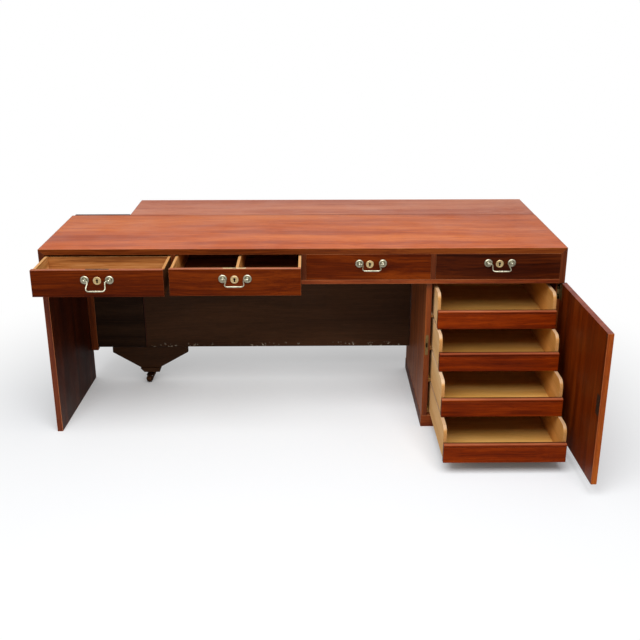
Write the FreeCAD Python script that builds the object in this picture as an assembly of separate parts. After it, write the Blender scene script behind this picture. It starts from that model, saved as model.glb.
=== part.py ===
import FreeCAD, Part
import math
import os

# Campaign desk in millimetres. X runs to the right, Y to the back, Z up.
# Working coordinates start at the front left corner on the floor; save() moves
# everything so that the origin sits on the floor under the middle of the desk.

os.makedirs("parts", exist_ok=True)
V = FreeCAD.Vector

# ---- main sizes ----
desk_width = 2000
desk_height = 762
case_depth = 540
case_underside = 622
panel = 22                   # end panels, pedestal sides and the top slab
case_bottom_thickness = 16
divider_thickness = 17
thin_back = 12
drawer_count = 4
fit_gap = 1.0                # side gap of a drawer in its opening
panel_toe_in = 16            # the left end panel's rear edge stands this far in
stile_right = 66

# ---- pedestal and door ----
pedestal_left = 1474
pedestal_depth = 636
plinth_height = 50
plinth_rail = 31
plinth_proud = 2
pedestal_front = 26          # set back, so that the shut door lies level with the drawers
bottom_panel_thickness = 6
ledge_thickness = 12
door_thickness = 21
door_bottom = 52
door_top = 617
lipping = 4
hinge_axis_x = 1994
hinge_axis_y = 23
knuckle_radius = 3.5
hinge_pin_radius = 1.5
door_inner_x = 1993
door_hinge_end_y = 22
door_free_end_y = -530.072
door_open = 1.03635          # degrees the open door stands past square
hinge_bottoms = (70, 550)
knuckle_height = 20
knuckle_gap = 0.3

# ---- drawers ----
front_thickness = 20
front_height = 100
drawer_side = 10
drawer_length = 500
drawer_bottom = 6
drawer_pulls = (193, 185, 0, 0)
pull_axis_drop = 36          # bail axis below the top edge of a front
post_spread = 44.5           # half the distance between the two posts
post_reach = 13              # bail axis in front of the drawer front
bail_lifts = (45, 71, 71, 64)  # degrees each bail stands off its front
pull_offsets = (0, 0, 9, 6)  # pulls right of the middle of their drawer
key_offsets = (0, -2, 4, 5)
bail_rod = 2.6
bail_pin = 2.2
bail_clearance = 0.05
lock_half_width = 42
lock_depth = 12
lock_height = 42

# ---- trays ----
tray_left = 1507
tray_right = 1957
tray_first_bottom = 52
tray_pitch = 138
tray_front_heights = (63, 59, 60, 60)   # from the lowest tray up
tray_bead_height = 11
tray_front_thickness = 18
tray_side = 12
tray_side_height = 134
tray_corner_radius = 28
tray_length = 520
tray_outs = (370, 270, 165, 80)   # from the lowest tray up
tray_rebate_height = 12
tray_rebate_depth = 6.5

# ---- rear leaf that swings out ----
leaf_left = 247
leaf_front = 543
leaf_rear = 835
leaf_thickness = 20
pivot_x = 1986
pivot_y = 604
pivot_pin_radius = 7
pivot_clearance = 0.08
board_front = 515
board_thickness = 15
board_bottom = 160
bracket_bottom = 60
seam_left = 281
seam_right = 283
seam_lap = 15                # how far the left post reaches behind the fixed board
board_right = 1472
post_right = 1462
post_width = 36
post_back = 590
post_tops_front = 574
swing_top = 617              # highest point of what hangs under the case
apron_bottom = 680

# ---- castor ----
castor_x = 302
castor_y = 530
castor_plate_top = 42
castor_plate_thickness = 3
castor_stem_radius = 5
castor_clearance = 0.06
castor_trail = 42
castor_turn = -12            # the trail points forward and a little to the left
wheel_radius = 15
wheel_width = 20
axle_radius = 3
axle_clearance = 0.05

# ---- frame ----
reach_right = 2024           # where the open door's free end comes to
reach_front = -530
shift = V(-reach_right / 2, -(reach_front + leaf_rear) / 2, 0)

case_inside = desk_width - 2 * panel
opening = (case_inside - (drawer_count - 1) * divider_thickness) / drawer_count
front_bottom = case_underside + case_bottom_thickness + fit_gap
front_top = front_bottom + front_height
case_ceiling = desk_height - panel


def save(node, *solids):
    """Write one node; several solids are kept as one compound."""
    moved = []
    for solid in solids:
        copy = solid.copy()
        copy.translate(shift)
        moved.append(copy)
    shape = moved[0] if len(moved) == 1 else Part.makeCompound(moved)
    shape.exportStep("parts/" + node + ".step")


def board(x0, x1, y0, y1, z0, z1):
    return Part.makeBox(x1 - x0, y1 - y0, z1 - z0, V(x0, y0, z0))


def prism(points, direction):
    """Solid from a closed flat outline pushed along a direction."""
    outline = Part.makePolygon(points + [points[0]])
    return Part.Face(outline).extrude(direction)


def rod(radius, start, end):
    run = end - start
    return Part.makeCylinder(radius, run.Length, start, run)


def turned(profile, centre, axis):
    """Solid of revolution; the profile lists (radius, distance along axis)."""
    points = [V(radius, 0, along) for radius, along in profile]
    outline = Part.makePolygon(points + [points[0]])
    solid = Part.Face(outline).revolve(V(0, 0, 0), V(0, 0, 1), 360)
    turn = FreeCAD.Rotation(V(0, 0, 1), axis)
    solid.Placement = FreeCAD.Placement(centre, turn)
    return solid


def rounded_path(points, radii):
    """Wire through straight runs whose inner corners are rounded."""
    edges = []
    start = points[0]
    for before, corner, after, radius in zip(points, points[1:], points[2:], radii):
        back = (before - corner).normalize()
        ahead = (after - corner).normalize()
        half_angle = back.getAngle(ahead) / 2
        reach = radius / math.tan(half_angle)
        inward = (back + ahead).normalize()
        centre = corner + inward * (radius / math.sin(half_angle))
        edges.append(Part.makeLine(start, corner + back * reach))
        middle = centre - inward * radius
        edges.append(Part.Arc(corner + back * reach, middle, corner + ahead * reach).toShape())
        start = corner + ahead * reach
    edges.append(Part.makeLine(start, points[-1]))
    return Part.Wire(edges)


def opening_left(index):
    """Left side of a drawer opening, counted from 0 at the left."""
    return panel + index * (opening + divider_thickness)


# ---- the long drawer case ----

def top_board():
    points = [V(0, 0, desk_height), V(desk_width, 0, desk_height)]
    points += [V(desk_width - panel, 0, case_ceiling), V(panel, 0, case_ceiling)]
    return prism(points, V(0, case_depth, 0))


def case_ends():
    left = [V(0, 0, case_underside), V(panel, 0, case_underside)]
    left += [V(panel, 0, case_ceiling), V(0, 0, desk_height)]
    right = [V(desk_width - point.x, 0, point.z) for point in reversed(left)]
    return [prism(side, V(0, case_depth, 0)) for side in (left, right)]


def case_bottom_board():
    top = case_underside + case_bottom_thickness
    return board(panel, desk_width - panel, 0, case_depth, case_underside, top)


def case_dividers():
    floor = case_underside + case_bottom_thickness
    back = case_depth - thin_back
    solids = []
    for index in range(1, drawer_count):
        right = opening_left(index)
        solids.append(board(right - divider_thickness, right, 0, back, floor, case_ceiling))
    return solids


def case_back_board():
    floor = case_underside + case_bottom_thickness
    back = case_depth - thin_back
    return board(panel, desk_width - panel, back, case_depth, floor, case_ceiling)


def rear_rail():
    """Dark rail that carries the top's line on to the left of the leaf."""
    return board(10, leaf_left - 2, case_depth, case_depth + 22, 705, desk_height)


# ---- left end and the fixed part of the back ----

def left_leg_panel():
    """End panel, flush with the case in front and turned in a little behind."""
    foot = [V(0, 0, 0), V(panel, 0, 0)]
    foot += [V(panel + panel_toe_in, case_depth, 0), V(panel_toe_in, case_depth, 0)]
    return prism(foot, V(0, 0, case_underside))


def left_rear_stile():
    front = case_depth - 28
    touch = panel + panel_toe_in * front / case_depth
    foot = [V(touch, front, 145), V(stile_right, front, 145)]
    foot += [V(stile_right, case_depth, 145), V(panel + panel_toe_in, case_depth, 145)]
    return prism(foot, V(0, 0, case_underside - 145))


def short_back_board():
    back = board_front + board_thickness
    return board(stile_right, seam_left, board_front, back, board_bottom, case_underside)


# ---- pedestal ----

def hinge_hollow(solid):
    """Hollow a board round the knuckles of both hinges."""
    for bottom in hinge_bottoms:
        foot = V(hinge_axis_x, hinge_axis_y, bottom - 0.5)
        solid = solid.cut(Part.makeCylinder(knuckle_radius + 0.4, 3 * knuckle_height + 1, foot))
    return solid


def pedestal_side(left):
    return board(left, left + panel, pedestal_front, pedestal_depth, plinth_height, case_underside)


def pedestal_sides():
    return [pedestal_side(pedestal_left), hinge_hollow(pedestal_side(desk_width - panel))]


def pedestal_plinth():
    left = pedestal_left - plinth_proud
    back = pedestal_depth + plinth_proud
    inner_left = left + plinth_rail
    inner_right = desk_width - plinth_rail
    front = pedestal_front
    sides = [board(left, inner_left, front, back, 0, plinth_height)]
    sides.append(board(inner_right, desk_width, front, back, 0, plinth_height))
    sides.append(board(inner_left, inner_right, front, front + plinth_rail, 0, plinth_height))
    sides.append(board(inner_left, inner_right, back - plinth_rail, back, 0, plinth_height))
    return sides


def pedestal_inside(y0, y1, z0, z1):
    return board(pedestal_left + panel, desk_width - panel, y0, y1, z0, z1)


def pedestal_bottom_panel():
    """Panel let in level with the plinth's top."""
    left = pedestal_left - plinth_proud + plinth_rail
    front = pedestal_front + plinth_rail
    back = pedestal_depth + plinth_proud - plinth_rail
    low = plinth_height - bottom_panel_thickness
    return board(left, desk_width - plinth_rail, front, back, low, plinth_height)


def pedestal_back_board():
    return pedestal_inside(pedestal_depth - thin_back, pedestal_depth, plinth_height, case_underside)


def pedestal_ledge():
    """Shelf behind the case that carries the pivot of the rear leaf."""
    back = pedestal_depth - thin_back
    return pedestal_inside(case_depth, back, case_underside - ledge_thickness, case_underside)


def tray_bottom(index):
    """Underside of a tray, counted from 0 at the lowest."""
    return tray_first_bottom + index * tray_pitch


def tray_runners():
    """Runners that fit the rebates along the lower edges of the trays."""
    solids = []
    inner_left = pedestal_left + panel
    inner_right = desk_width - panel
    reach = tray_rebate_depth - 0.5
    for index in range(len(tray_outs)):
        low = tray_bottom(index)
        high = low + tray_rebate_height - 0.5
        solids.append(board(inner_left, tray_left + reach, 50, 520, low, high))
        solids.append(board(tray_right - reach, inner_right, 50, 520, low, high))
    return solids


def strike_plate():
    front = pedestal_front - 1
    plate = board(pedestal_left + 4, pedestal_left + 16, front, pedestal_front, 317, 400)
    slot = board(pedestal_left + 7, pedestal_left + 13, front - 1, pedestal_front + 1, 348, 368)
    return plate.cut(slot)


# ---- door and its hinges; the door stands open ----

def door_turned(solid):
    """Turn a piece of the door from square to where it stands."""
    solid.rotate(V(hinge_axis_x, hinge_axis_y, 0), V(0, 0, 1), door_open)
    return solid


def knuckle(bottom, bore):
    centre = V(hinge_axis_x, hinge_axis_y, bottom)
    solid = Part.makeCylinder(knuckle_radius, knuckle_height - knuckle_gap, centre)
    return solid.cut(Part.makeCylinder(bore, knuckle_height, centre)) if bore else solid


def hinge_fixed(bottom):
    """Leaf on the pedestal's front edge, its two outer knuckles and the pin."""
    leaf_left_edge = desk_width - panel + 2
    front = pedestal_front - 0.9
    solid = rod(hinge_pin_radius, V(hinge_axis_x, hinge_axis_y, bottom + 1),
                V(hinge_axis_x, hinge_axis_y, bottom + 3 * knuckle_height - 1))
    for level in (0, 2):
        low = bottom + level * knuckle_height
        high = low + knuckle_height - knuckle_gap
        solid = solid.fuse(knuckle(low, 0))
        solid = solid.fuse(board(leaf_left_edge, hinge_axis_x - 1.5, front, pedestal_front, low, high))
    top = bottom + 3 * knuckle_height - knuckle_gap
    middle = board(leaf_left_edge, hinge_axis_x - 3.5, front, pedestal_front, bottom, top)
    return solid.fuse(middle).removeSplitter()


def hinge_moving(bottom):
    """Leaf on the door's inner face with the middle knuckle."""
    low = bottom + knuckle_height
    high = low + knuckle_height - knuckle_gap
    bore = hinge_pin_radius + 0.05
    inner = door_inner_x - 0.9
    arm = board(inner, door_inner_x, door_hinge_end_y - 5, hinge_axis_y - 2.5, low, high)
    top = bottom + 3 * knuckle_height
    leaf = board(inner, door_inner_x, door_hinge_end_y - 22, door_hinge_end_y - 4, bottom, top)
    return door_turned(knuckle(low, bore).fuse(arm).fuse(leaf).removeSplitter())


def lock_pocket():
    return board(door_inner_x, door_inner_x + 9, -524, -492, 312, 388)


def door_panel():
    """Panel with the lock's pocket and its corner hollowed round the knuckles."""
    outer = door_inner_x + door_thickness
    solid = board(door_inner_x, outer, door_free_end_y + lipping, door_hinge_end_y, door_bottom, door_top)
    return door_turned(hinge_hollow(solid).cut(lock_pocket()))


def door_lipping():
    outer = door_inner_x + door_thickness
    strip = board(door_inner_x, outer, door_free_end_y, door_free_end_y + lipping, door_bottom, door_top)
    return door_turned(strip)


def door_lock():
    """Cut lock sunk in the inner face, and a small stop pin near the top corner."""
    keyhole = rod(2.4, V(door_inner_x - 1, -508, 350), V(door_inner_x + 4, -508, 350))
    pin = rod(3, V(door_inner_x - 1.5, -519, 606), V(door_inner_x, -519, 606))
    return [door_turned(lock_pocket().cut(keyhole)), door_turned(pin)]


# ---- drawers ----

def lock_space(centre_x, front_y):
    y0 = front_y + front_thickness - lock_depth
    y1 = front_y + front_thickness
    left = centre_x - lock_half_width
    return board(left, centre_x + lock_half_width, y0, y1, front_top - lock_height, front_top)


def keyhole(centre_x, centre_z, y0, y1):
    top = rod(3.4, V(centre_x, y0, centre_z + 2), V(centre_x, y1, centre_z + 2))
    return top.fuse(board(centre_x - 2, centre_x + 2, y0, y1, centre_z - 7, centre_z + 2))


def drawer_front(left, right, front_y, centre_x, key_z):
    solid = board(left, right, front_y, front_y + front_thickness, front_bottom, front_top)
    solid = solid.cut(lock_space(centre_x, front_y))
    return solid.cut(keyhole(centre_x, key_z, front_y - 1, front_y + front_thickness - lock_depth))


def drawer_box(left, right, front_y, centre_x, index):
    """Sides, back, bottom and the partition that two of the drawers have."""
    y0 = front_y + front_thickness
    y1 = front_y + drawer_length
    top = front_top - 6
    floor = front_bottom + 4
    inner_left = left + drawer_side
    inner_right = right - drawer_side
    inner_back = y1 - drawer_side
    solids = [board(left, inner_left, y0, y1, front_bottom, top)]
    solids.append(board(inner_right, right, y0, y1, front_bottom, top))
    solids.append(board(inner_left, inner_right, inner_back, y1, front_bottom, top))
    solids.append(board(inner_left, inner_right, y0, inner_back, floor, floor + drawer_bottom))
    above = floor + drawer_bottom
    if index == 0:
        solids.append(board(inner_left, inner_right, y0 + 180, y0 + 188, above, top - 2))
    if index == 1:
        solids.append(board(centre_x, centre_x + 10, y0, inner_back, above, top - 2))
    return solids


def drawer_lock(centre_x, front_y, key_z):
    """Lock let into the back of the front, and the round keyhole plate."""
    profile = [(0, 0), (15, 0), (15, 1.2), (13.4, 2.2), (0, 2.2)]
    plate = turned(profile, V(centre_x, front_y, key_z), V(0, -1, 0))
    plate = plate.cut(keyhole(centre_x, key_z, front_y - 4, front_y + 1))
    return [lock_space(centre_x, front_y), plate]


def pull_posts(centre_x, front_y, axis_z):
    """Two dished roses, each with a post whose ball is drilled for the bail."""
    rose = [(0, 0), (16, 0), (16, 1.4), (14.6, 3.4), (11.8, 4.5), (9, 4.2), (6.6, 3.0), (4.4, 2.8), (0, 2.8)]
    solids = []
    for side in (-1, 1):
        x = centre_x + side * post_spread
        solid = turned(rose, V(x, front_y, axis_z), V(0, -1, 0))
        solid = solid.fuse(rod(3.6, V(x, front_y - 1, axis_z), V(x, front_y - post_reach, axis_z)))
        solid = solid.fuse(Part.makeSphere(5.5, V(x, front_y - post_reach, axis_z)))
        hole = rod(bail_pin + bail_clearance, V(x - 8, front_y - post_reach, axis_z),
                   V(x + 8, front_y - post_reach, axis_z))
        solids.append(solid.cut(hole))
    return solids


def bail(centre_x, front_y, axis_z, lift):
    """Swan-necked drop handle that hangs from the two posts."""
    corners = [V(37, 0, 0), V(30, 0, 0), V(36, 0, -42), V(-36, 0, -42), V(-30, 0, 0), V(-37, 0, 0)]
    path = rounded_path(corners, (4, 10, 10, 4))
    section = Part.Wire(Part.makeCircle(bail_rod, corners[0], V(-1, 0, 0)))
    solid = path.makePipeShell([section], True, False)
    grip = [(0, -13), (2.7, -13), (3.3, -9), (3.3, -3), (3.8, 0), (3.3, 3), (3.3, 9), (2.7, 13), (0, 13)]
    solid = solid.fuse(turned(grip, V(0, 0, -42), V(1, 0, 0)))
    for side in (-1, 1):
        solid = solid.fuse(rod(bail_pin, V(side * 36, 0, 0), V(side * 50, 0, 0)))
    solid.rotate(V(0, 0, 0), V(1, 0, 0), -lift)
    solid.translate(V(centre_x, front_y - post_reach, axis_z))
    return solid


def save_drawer(index):
    name = "drawer_" + str(index + 1)
    left = opening_left(index) + fit_gap
    right = opening_left(index) + opening - fit_gap
    middle = (left + right) / 2
    pull_x = middle + pull_offsets[index]
    key_x = middle + key_offsets[index]
    front_y = -drawer_pulls[index]
    axis_z = front_top - pull_axis_drop
    key_z = axis_z - 3
    save(name + "_front", drawer_front(left, right, front_y, key_x, key_z))
    save(name + "_box", *drawer_box(left, right, front_y, middle, index))
    save(name + "_lock", *drawer_lock(key_x, front_y, key_z))
    save(name + "_pull_posts", *pull_posts(pull_x, front_y, axis_z))
    save(name + "_bail", bail(pull_x, front_y, axis_z, bail_lifts[index]))


# ---- trays ----

def tray_front(front_y, bottom, height):
    """Low front with a rounded bead along its top edge."""
    back = front_y + tray_front_thickness
    top = bottom + height
    low = board(tray_left, tray_right, front_y, back, bottom, top)
    nose = front_y - 2.5
    middle = top + tray_bead_height / 2
    bead = [V(tray_left - 1.5, back, top), V(tray_left - 1.5, front_y, top)]
    bead += [V(tray_left - 1.5, nose, middle - 3), V(tray_left - 1.5, nose, middle + 3)]
    bead += [V(tray_left - 1.5, front_y, top + tray_bead_height)]
    bead += [V(tray_left - 1.5, back, top + tray_bead_height)]
    return low.fuse(prism(bead, V(tray_right - tray_left + 3, 0, 0)))


def tray_side_board(x, rebate_x, front_y, bottom):
    """Tall side with a rounded front top corner and a rebate along its foot."""
    y0 = front_y + tray_front_thickness
    y1 = front_y + tray_length
    top = bottom + tray_side_height
    solid = board(x, x + tray_side, y0, y1, bottom, top)
    corner = board(x, x + tray_side, y0, y0 + tray_corner_radius, top - tray_corner_radius, top)
    centre = V(x, y0 + tray_corner_radius, top - tray_corner_radius)
    corner = corner.cut(rod(tray_corner_radius, centre, centre + V(tray_side, 0, 0)))
    rebate = board(rebate_x, rebate_x + tray_rebate_depth, y0, y1, bottom, bottom + tray_rebate_height)
    return solid.cut(corner).cut(rebate)


def tray_box(front_y, bottom):
    y0 = front_y + tray_front_thickness
    y1 = front_y + tray_length
    inner_left = tray_left + tray_side
    inner_right = tray_right - tray_side
    inner_back = y1 - tray_side
    back_top = bottom + tray_side_height - 20
    solids = [tray_side_board(tray_left, tray_left, front_y, bottom)]
    solids.append(tray_side_board(inner_right, tray_right - tray_rebate_depth, front_y, bottom))
    solids.append(board(inner_left, inner_right, inner_back, y1, bottom, back_top))
    solids.append(board(inner_left, inner_right, y0, inner_back, bottom + 3, bottom + 10))
    return solids


def save_tray(index):
    name = "tray_" + str(index + 1)
    front_y = -tray_outs[index]
    bottom = tray_bottom(index)
    save(name + "_front", tray_front(front_y, bottom, tray_front_heights[index]))
    save(name + "_box", *tray_box(front_y, bottom))


# ---- rear leaf, the boards that hang from it and its pivot ----

def leaf_board():
    under = desk_height - leaf_thickness
    return board(leaf_left, desk_width, leaf_front, leaf_rear, under, desk_height)


def leaf_posts():
    """Three posts, stepped back above the case; the left one covers the seam."""
    solids = []
    leaf_under = desk_height - leaf_thickness
    board_back = board_front + board_thickness
    starts = (seam_right - seam_lap, (seam_right + post_right - post_width) / 2, post_right - post_width)
    lows = (bracket_bottom, board_bottom, board_bottom)
    rebate = board(0, seam_right, board_back - 1, board_back + 0.6, 0, desk_height)
    for left, low in zip(starts, lows):
        lower = board(left, left + post_width, board_back, post_back, low, swing_top)
        solids.append(lower.cut(rebate))
        solids.append(board(left, left + post_width, post_tops_front, post_back, swing_top, leaf_under))
    return solids


def leaf_apron():
    under = desk_height - leaf_thickness
    return board(seam_right, pivot_x - 46, post_back, post_back + 18, apron_bottom, under)


def long_back_board():
    back = board_front + board_thickness
    return board(seam_right, board_right, board_front, back, board_bottom, swing_top)


def castor_bracket():
    """Tapered board hung under the seam, with the block the castor is fixed to."""
    top = board_bottom - 2
    low = bracket_bottom
    points = [V(130, board_front, top), V(470, board_front, top), V(470, board_front, 134)]
    points += [V(340, board_front, low), V(252, board_front, low), V(130, board_front, 134)]
    under = [V(252, 502, low), V(268, 502, castor_plate_top), V(338, 502, castor_plate_top), V(338, 502, low)]
    block = prism(under, V(0, 58, 0))
    stem_hole = rod(castor_stem_radius + castor_clearance, V(castor_x, castor_y, castor_plate_top - 1),
                    V(castor_x, castor_y, castor_plate_top + 16))
    return [prism(points, V(0, board_thickness, 0)), block.cut(stem_hole)]


def pivot_block():
    under = desk_height - leaf_thickness
    solid = board(pivot_x - 46, pivot_x + 13, pivot_y - 36, pivot_y + 35, apron_bottom, under)
    bore = pivot_pin_radius + pivot_clearance
    return solid.cut(rod(bore, V(pivot_x, pivot_y, apron_bottom - 1), V(pivot_x, pivot_y, 736)))


def pivot_bracket():
    """Plate on the pedestal's ledge with the collar and pin the leaf turns on."""
    plate_top = case_underside + 5
    plate = board(pivot_x - 40, desk_width, pivot_y - 34, pedestal_depth, case_underside, plate_top)
    collar = rod(11, V(pivot_x, pivot_y, plate_top - 1), V(pivot_x, pivot_y, apron_bottom - 0.5))
    pin = rod(pivot_pin_radius, V(pivot_x, pivot_y, apron_bottom - 1), V(pivot_x, pivot_y, 734))
    return plate.fuse(collar).fuse(pin)


# ---- castor ----

def castor_plate():
    low = castor_plate_top - castor_plate_thickness
    solid = board(castor_x - 24, castor_x + 24, castor_y - 24, castor_y + 24, low, castor_plate_top)
    hole = castor_stem_radius + castor_clearance
    return solid.cut(rod(hole, V(castor_x, castor_y, low - 1), V(castor_x, castor_y, castor_plate_top + 1)))


def castor_turned(solid):
    """Turn a castor piece about the upright stem, from straight ahead."""
    solid.rotate(V(castor_x, castor_y, 0), V(0, 0, 1), castor_turn)
    return solid


def castor_fork():
    """Stem and disc, a solid horn leaning down over the wheel, two cheeks and the axle."""
    low = castor_plate_top - castor_plate_thickness - 0.3
    stem_top = castor_plate_top + 14
    stem = rod(castor_stem_radius, V(castor_x, castor_y, low - 3), V(castor_x, castor_y, stem_top))
    disc = rod(17, V(castor_x, castor_y, low - 5), V(castor_x, castor_y, low))
    solid = stem.fuse(disc)
    axle_y = castor_y - castor_trail
    for side in (-1, 1):
        x = castor_x + side * (wheel_width / 2 + 0.8)
        width = V(side * 4, 0, 0)
        cheek = [V(x, castor_y + 11, low - 4), V(x, castor_y - 13, low - 4)]
        cheek += [V(x, axle_y - 2, wheel_radius + 6), V(x, axle_y - 6, wheel_radius)]
        cheek += [V(x, axle_y - 3, wheel_radius - 5), V(x, axle_y + 4, wheel_radius - 5)]
        solid = solid.fuse(prism(cheek, width))
    half = wheel_width / 2 + 4.8
    profile = ((11, low - 5), (11, low), (-16, low), (-44, 33.5), (-44, 31.2), (-20, 33))
    points = [V(castor_x - half, castor_y + along, height) for along, height in profile]
    horn = prism(points, V(2 * half, 0, 0))
    solid = solid.fuse(horn)
    reach = wheel_width / 2 + 5.5
    axle = rod(axle_radius, V(-reach, 0, 0), V(reach, 0, 0))
    axle.translate(V(castor_x, axle_y, wheel_radius))
    return castor_turned(solid.fuse(axle))


def castor_wheel():
    half = wheel_width / 2
    rim = wheel_radius
    hole = axle_radius + axle_clearance
    profile = [(hole, -half), (rim - 2, -half), (rim, -half + 2)]
    profile += [(rim, half - 2), (rim - 2, half), (hole, half)]
    solid = turned(profile, V(castor_x, castor_y - castor_trail, wheel_radius), V(1, 0, 0))
    return castor_turned(solid)


# ---- write every node ----

save("top_board", top_board())
save("case_ends", *case_ends())
save("case_bottom_board", case_bottom_board())
save("case_dividers", *case_dividers())
save("case_back_board", case_back_board())
save("rear_rail", rear_rail())
save("left_leg_panel", left_leg_panel())
save("left_rear_stile", left_rear_stile())
save("short_back_board", short_back_board())
save("pedestal_sides", *pedestal_sides())
save("pedestal_plinth", *pedestal_plinth())
save("pedestal_bottom_panel", pedestal_bottom_panel())
save("pedestal_back_board", pedestal_back_board())
save("pedestal_ledge", pedestal_ledge())
save("tray_runners", *tray_runners())
save("strike_plate", strike_plate())
save("door_hinge_fixed", *[hinge_fixed(bottom) for bottom in hinge_bottoms])
save("pivot_bracket", pivot_bracket())
for number in range(drawer_count):
    save_drawer(number)
for number in range(len(tray_outs)):
    save_tray(number)
save("door_panel", door_panel())
save("door_lipping", door_lipping())
save("door_lock", *door_lock())
save("door_hinge_moving", *[hinge_moving(bottom) for bottom in hinge_bottoms])
save("leaf_board", leaf_board())
save("leaf_posts", *leaf_posts())
save("leaf_apron", leaf_apron())
save("long_back_board", long_back_board())
save("castor_bracket", *castor_bracket())
save("pivot_block", pivot_block())
save("castor_plate", castor_plate())
save("castor_fork", castor_fork())
save("castor_wheel", castor_wheel())
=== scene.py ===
import math

import bmesh
import bpy
from mathutils import Matrix, Vector


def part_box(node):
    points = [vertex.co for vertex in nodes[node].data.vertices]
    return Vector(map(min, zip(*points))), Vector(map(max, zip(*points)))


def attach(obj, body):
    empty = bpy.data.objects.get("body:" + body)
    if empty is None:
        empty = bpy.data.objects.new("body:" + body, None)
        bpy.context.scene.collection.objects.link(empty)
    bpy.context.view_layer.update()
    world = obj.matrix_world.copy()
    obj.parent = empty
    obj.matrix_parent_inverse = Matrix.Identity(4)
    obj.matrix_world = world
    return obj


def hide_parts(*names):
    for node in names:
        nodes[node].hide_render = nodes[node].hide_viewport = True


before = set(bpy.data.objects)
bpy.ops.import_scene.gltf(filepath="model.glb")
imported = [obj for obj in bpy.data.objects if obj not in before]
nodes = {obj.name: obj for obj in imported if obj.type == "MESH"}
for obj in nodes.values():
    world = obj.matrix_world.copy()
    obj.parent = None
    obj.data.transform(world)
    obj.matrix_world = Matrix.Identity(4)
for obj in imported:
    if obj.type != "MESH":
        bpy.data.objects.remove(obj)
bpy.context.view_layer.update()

MM = 0.001
ACROSS = Vector((1, 0, 0))
FORWARD = Vector((0, -1, 0))      # towards the sitter
UP = Vector((0, 0, 1))
AXES = {"x": 0, "y": 1, "z": 2}

# the frame's origin, in workshop millimetres from the desk's front left floor corner
ORIGIN_X = 1012
ORIGIN_Y = 152.5
# of the drawers and of the trays
NUMBERS = (1, 2, 3, 4)


def desk_point(x, y, z):
    """Workshop millimetres, from the desk's front left floor corner, to the frame's metres."""
    return Vector(((x - ORIGIN_X) * MM, (y - ORIGIN_Y) * MM, z * MM))


# ---- camera ----

def stand_camera():
    """Eye of a standing person, a little right of the desk's middle and looking down at it."""
    tilt_down = 20.244
    turn_right = 0.727
    camera = bpy.data.objects.new("camera", bpy.data.cameras.new("camera"))
    camera.data.lens = 50.85
    camera.data.sensor_width = 36
    camera.data.clip_end = 100
    camera.data.dof.use_dof = False
    camera.location = desk_point(1019.7, -3289.5, 1688.7)
    camera.rotation_euler = (math.radians(90 - tilt_down), 0, math.radians(-turn_right))
    bpy.context.scene.collection.objects.link(camera)
    bpy.context.scene.camera = camera


# ---- finishes: node helpers ----

def linear(hex_colour):
    """Linear colour of an sRGB hex value."""
    parts = [int(hex_colour[i:i + 2], 16) / 255 for i in (1, 3, 5)]
    return [p / 12.92 if p <= 0.04045 else ((p + 0.055) / 1.055) ** 2.4 for p in parts] + [1.0]


def add(tree, kind, settings=None, links=None):
    """Add one node. Settings are its properties or unlinked inputs, links its inputs' sources."""
    node = tree.nodes.new("ShaderNode" + kind)
    for name, value in (settings or {}).items():
        if name == "stops":
            ramp = node.color_ramp.elements
            while len(ramp) < len(value):
                ramp.new(0.5)
            for stop, (place, colour) in zip(ramp, value):
                stop.position = place
                stop.color = linear(colour)
        elif isinstance(name, str) and hasattr(node, name):
            setattr(node, name, value)
        else:
            node.inputs[name].default_value = value
    for name, source in (links or {}).items():
        tree.links.new(source, node.inputs[name])
    return node


def new_finish(name):
    """Empty node material; returns the material, its tree and its output node."""
    finish = bpy.data.materials.new(name)
    finish.use_nodes = True
    finish.node_tree.nodes.clear()
    return finish, finish.node_tree, add(finish.node_tree, "OutputMaterial")


def per_metre(size_mm):
    """Scale of a pattern whose patches are this many millimetres wide: a Scale counts them per metre."""
    return 1 / (size_mm * MM)


def where(tree, *limits, most=1.0):
    """From 0 to most: how far every source has passed from its low limit to its high one."""
    share = None
    for source, low, high in limits:
        passed = add(tree, "MapRange", {"From Min": low, "From Max": high, "To Max": most},
                     {"Value": source}).outputs["Result"]
        if share is None:
            share = passed
            most = 1.0
        else:
            share = add(tree, "Math", {"operation": "MULTIPLY"}, {0: share, 1: passed}).outputs[0]
    return share


# ---- wood ----

# how much of a normal points one way where its face begins to count as turned that way, and
# where it fully does
TURNS = 0.45
TURNED = 0.75


def wandering_place(tree, place):
    """Place on the desk, led up to 30 mm aside over a board's length as real grain wanders."""
    wander = add(tree, "TexNoise", {"Scale": per_metre(625), "Detail": 2.0}, {"Vector": place})
    centred = add(tree, "VectorMath", {"operation": "SUBTRACT", 1: (0.5, 0.5, 0.5)},
                  {0: wander.outputs["Color"]})
    sway = 60 * MM
    return add(tree, "VectorMath", {"operation": "MULTIPLY_ADD", 1: (sway, sway, sway)},
               {0: centred.outputs["Vector"], 2: place}).outputs["Vector"]


def crossed_place(tree, place, crossed):
    """The same place with front to back and side to side changed over, where crossed is 1."""
    run = add(tree, "SeparateXYZ", links={"Vector": place}).outputs
    changed_over = add(tree, "CombineXYZ", links={"X": run["Y"], "Y": run["X"], "Z": run["Z"]})
    return add(tree, "Mix", {"data_type": "VECTOR"},
               {0: crossed, 4: place, 5: changed_over.outputs["Vector"]}).outputs[1]


def outer_sides(tree, normal, part_way):
    """From 0 to 1: the two side faces of a box, but not the inner faces of its side boards."""
    sideways = add(tree, "Math", {"operation": "ABSOLUTE"}, {0: normal["X"]}).outputs[0]
    from_middle = add(tree, "Math", {"operation": "SUBTRACT", 1: 0.5}, {0: part_way["X"]}).outputs[0]
    off_middle = add(tree, "Math", {"operation": "ABSOLUTE"}, {0: from_middle}).outputs[0]
    return where(tree, (sideways, TURNS, TURNED), (off_middle, 0.488, 0.496))


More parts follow.
